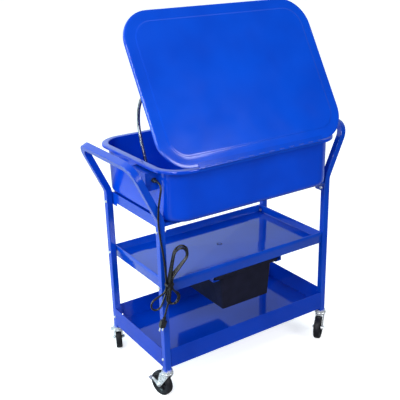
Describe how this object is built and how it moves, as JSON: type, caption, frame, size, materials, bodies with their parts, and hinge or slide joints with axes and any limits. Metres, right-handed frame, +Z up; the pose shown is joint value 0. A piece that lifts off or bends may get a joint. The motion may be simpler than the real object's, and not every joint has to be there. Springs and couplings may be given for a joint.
{
  "type": "mobile parts washer",
  "caption": "Blue steel cart carrying a lidded parts-washing tub with pump and spigot over a shelf, hanging bin and deep tray, with push bars, swivel casters and a hung power cord.",
  "frame": {"origin": "on the floor, under the middle of the cart's frame", "axes": "+Z up; X along the cart from push bar to push bar, +X the end with the switch box; +Y the hinge side of the lid, -Y the user's side"},
  "size_m": [0.9712, 0.56, 1.375],
  "materials": {
    "blue_paint": "gloss enamel",
    "grey_paint": "satin",
    "zinc_plate": "zinc plated",
    "wheel_rubber": "matte",
    "bin_plastic": "textured",
    "black_plastic": "moulded",
    "cord_vinyl": "satin",
    "hose_metal": "flexible metal hose"
  },
  "bodies": {
    "frame": {"bin_rail_left": "blue_paint", "bin_rail_right": "blue_paint", "caster_stems": "zinc_plate", "cord_drop": "cord_vinyl", "cord_gland": "black_plastic", "cord_hank": "cord_vinyl", "cord_tail": "cord_vinyl", "cord_tie": "cord_vinyl", "drain_plug": "zinc_plate", "frame_bolts": "zinc_plate", "handle_left": "blue_paint", "handle_right": "blue_paint", "hinge_pin": "zinc_plate", "hinge_tub_leaf": "blue_paint", "lid_stay_catch": "zinc_plate", "lower_post_front_left": "blue_paint", "lower_post_front_right": "blue_paint", "lower_post_rear_left": "blue_paint", "lower_post_rear_right": "blue_paint", "lower_tray": "blue_paint", "mains_plug": "cord_vinyl", "middle_shelf": "blue_paint", "plug_blades": "zinc_plate", "post_couplers": "zinc_plate", "pump": "black_plastic", "switch_box": "grey_paint", "switch_box_cover": "grey_paint", "tub_rail_left": "blue_paint", "tub_rail_right": "blue_paint", "upper_post_front_left": "blue_paint", "upper_post_front_right": "blue_paint", "upper_post_rear_left": "blue_paint", "upper_post_rear_right": "blue_paint", "wash_tub": "blue_paint"},
    "brake_front_left": {"brake_lever_front_left": "zinc_plate"},
    "brake_front_right": {"brake_lever_front_right": "zinc_plate"},
    "brake_rear_left": {"brake_lever_rear_left": "zinc_plate"},
    "brake_rear_right": {"brake_lever_rear_right": "zinc_plate"},
    "swivel_front_left": {"caster_axle_front_left": "zinc_plate", "caster_fork_front_left": "zinc_plate"},
    "swivel_front_right": {"caster_axle_front_right": "zinc_plate", "caster_fork_front_right": "zinc_plate"},
    "swivel_rear_left": {"caster_axle_rear_left": "zinc_plate", "caster_fork_rear_left": "zinc_plate"},
    "swivel_rear_right": {"caster_axle_rear_right": "zinc_plate", "caster_fork_rear_right": "zinc_plate"},
    "wheel_front_left": {"caster_wheel_front_left": "wheel_rubber"},
    "wheel_front_right": {"caster_wheel_front_right": "wheel_rubber"},
    "wheel_rear_left": {"caster_wheel_rear_left": "wheel_rubber"},
    "wheel_rear_right": {"caster_wheel_rear_right": "wheel_rubber"},
    "lid": {"hinge_lid_leaf": "blue_paint", "lid": "blue_paint", "lid_stay_bracket": "zinc_plate"},
    "stay": {"lid_stay_arm": "zinc_plate"},
    "rocker": {"power_switch": "black_plastic"},
    "spigot": {"spigot_base": "black_plastic", "spigot_hose": "hose_metal", "spigot_nozzle": "black_plastic"},
    "bin": {"storage_bin": "bin_plastic"}
  },
  "joints": [
    {"name": "lid_hinge", "type": "hinge", "parent": "frame", "child": "lid", "pos_m": [0, 0.2805, 0.889], "axis": [1, 0, 0], "range_deg": [0, 60]},
    {"name": "stay_pivot", "type": "hinge", "parent": "lid", "child": "stay", "pos_m": [-0.3335, 0.15664, 1.07153], "axis": [1, 0, 0], "range_deg": [-107, 0]},
    {"name": "spigot_fold", "type": "hinge", "parent": "frame", "child": "spigot", "pos_m": [0.285, -0.044, 0.782], "axis": [0, -1, 0], "range_deg": [0, 90]},
    {"name": "bin_slide", "type": "slide", "parent": "frame", "child": "bin", "axis": [0, 1, 0], "range_m": [-0.25, 0.25]},
    {"name": "power_rocker", "type": "hinge", "parent": "frame", "child": "rocker", "pos_m": [0.406, 0.1, 0.838], "axis": [0, 1, 0], "range_deg": [-16, 0]},
    {"name": "swivel_rear_right", "type": "hinge", "parent": "frame", "child": "swivel_rear_right", "pos_m": [0.3775, 0.1935, 0.1], "axis": [0, 0, 1], "continuous": true},
    {"name": "spin_rear_right", "type": "hinge", "parent": "swivel_rear_right", "child": "wheel_rear_right", "pos_m": [0.38447, 0.16329, 0.0475], "axis": [0.9744, 0.225, 0], "continuous": true},
    {"name": "brake_rear_right", "type": "hinge", "parent": "swivel_rear_right", "child": "brake_rear_right", "pos_m": [0.38447, 0.16329, 0.0475], "axis": [0.9744, 0.225, 0], "range_deg": [-10, 12]},
    {"name": "swivel_rear_left", "type": "hinge", "parent": "frame", "child": "swivel_rear_left", "pos_m": [-0.3775, 0.1935, 0.1], "axis": [0, 0, 1], "continuous": true},
    {"name": "spin_rear_left", "type": "hinge", "parent": "swivel_rear_left", "child": "wheel_rear_left", "pos_m": [-0.35211, 0.21128, 0.0475], "axis": [-0.5736, 0.8192, 0], "continuous": true},
    {"name": "brake_rear_left", "type": "hinge", "parent": "swivel_rear_left", "child": "brake_rear_left", "pos_m": [-0.35211, 0.21128, 0.0475], "axis": [-0.5736, 0.8192, 0], "range_deg": [-10, 12]},
    {"name": "swivel_front_right", "type": "hinge", "parent": "frame", "child": "swivel_front_right", "pos_m": [0.3775, -0.1935, 0.1], "axis": [0, 0, 1], "continuous": true},
    {"name": "spin_front_right", "type": "hinge", "parent": "swivel_front_right", "child": "wheel_front_right", "pos_m": [0.3644, -0.2216, 0.0475], "axis": [0.9063, -0.4226, 0], "continuous": true},
    {"name": "brake_front_right", "type": "hinge", "parent": "swivel_front_right", "child": "brake_front_right", "pos_m": [0.3644, -0.2216, 0.0475], "axis": [0.9063, -0.4226, 0], "range_deg": [-10, 12]},
    {"name": "swivel_front_left", "type": "hinge", "parent": "frame", "child": "swivel_front_left", "pos_m": [-0.3775, -0.1935, 0.1], "axis": [0, 0, 1], "continuous": true},
    {"name": "spin_front_left", "type": "hinge", "parent": "swivel_front_left", "child": "wheel_front_left", "pos_m": [-0.35375, -0.21343, 0.0475], "axis": [0.6428, 0.766, 0], "continuous": true},
    {"name": "brake_front_left", "type": "hinge", "parent": "swivel_front_left", "child": "brake_front_left", "pos_m": [-0.35375, -0.21343, 0.0475], "axis": [0.6428, 0.766, 0], "range_deg": [-10, 12]}
  ],
  "couplings": [
    {"joint": "stay_pivot", "follows": "lid_hinge", "ratio": -1.78},
    {"joint": "spigot_fold", "follows": "lid_hinge", "ratio": 1.5}
  ]
}
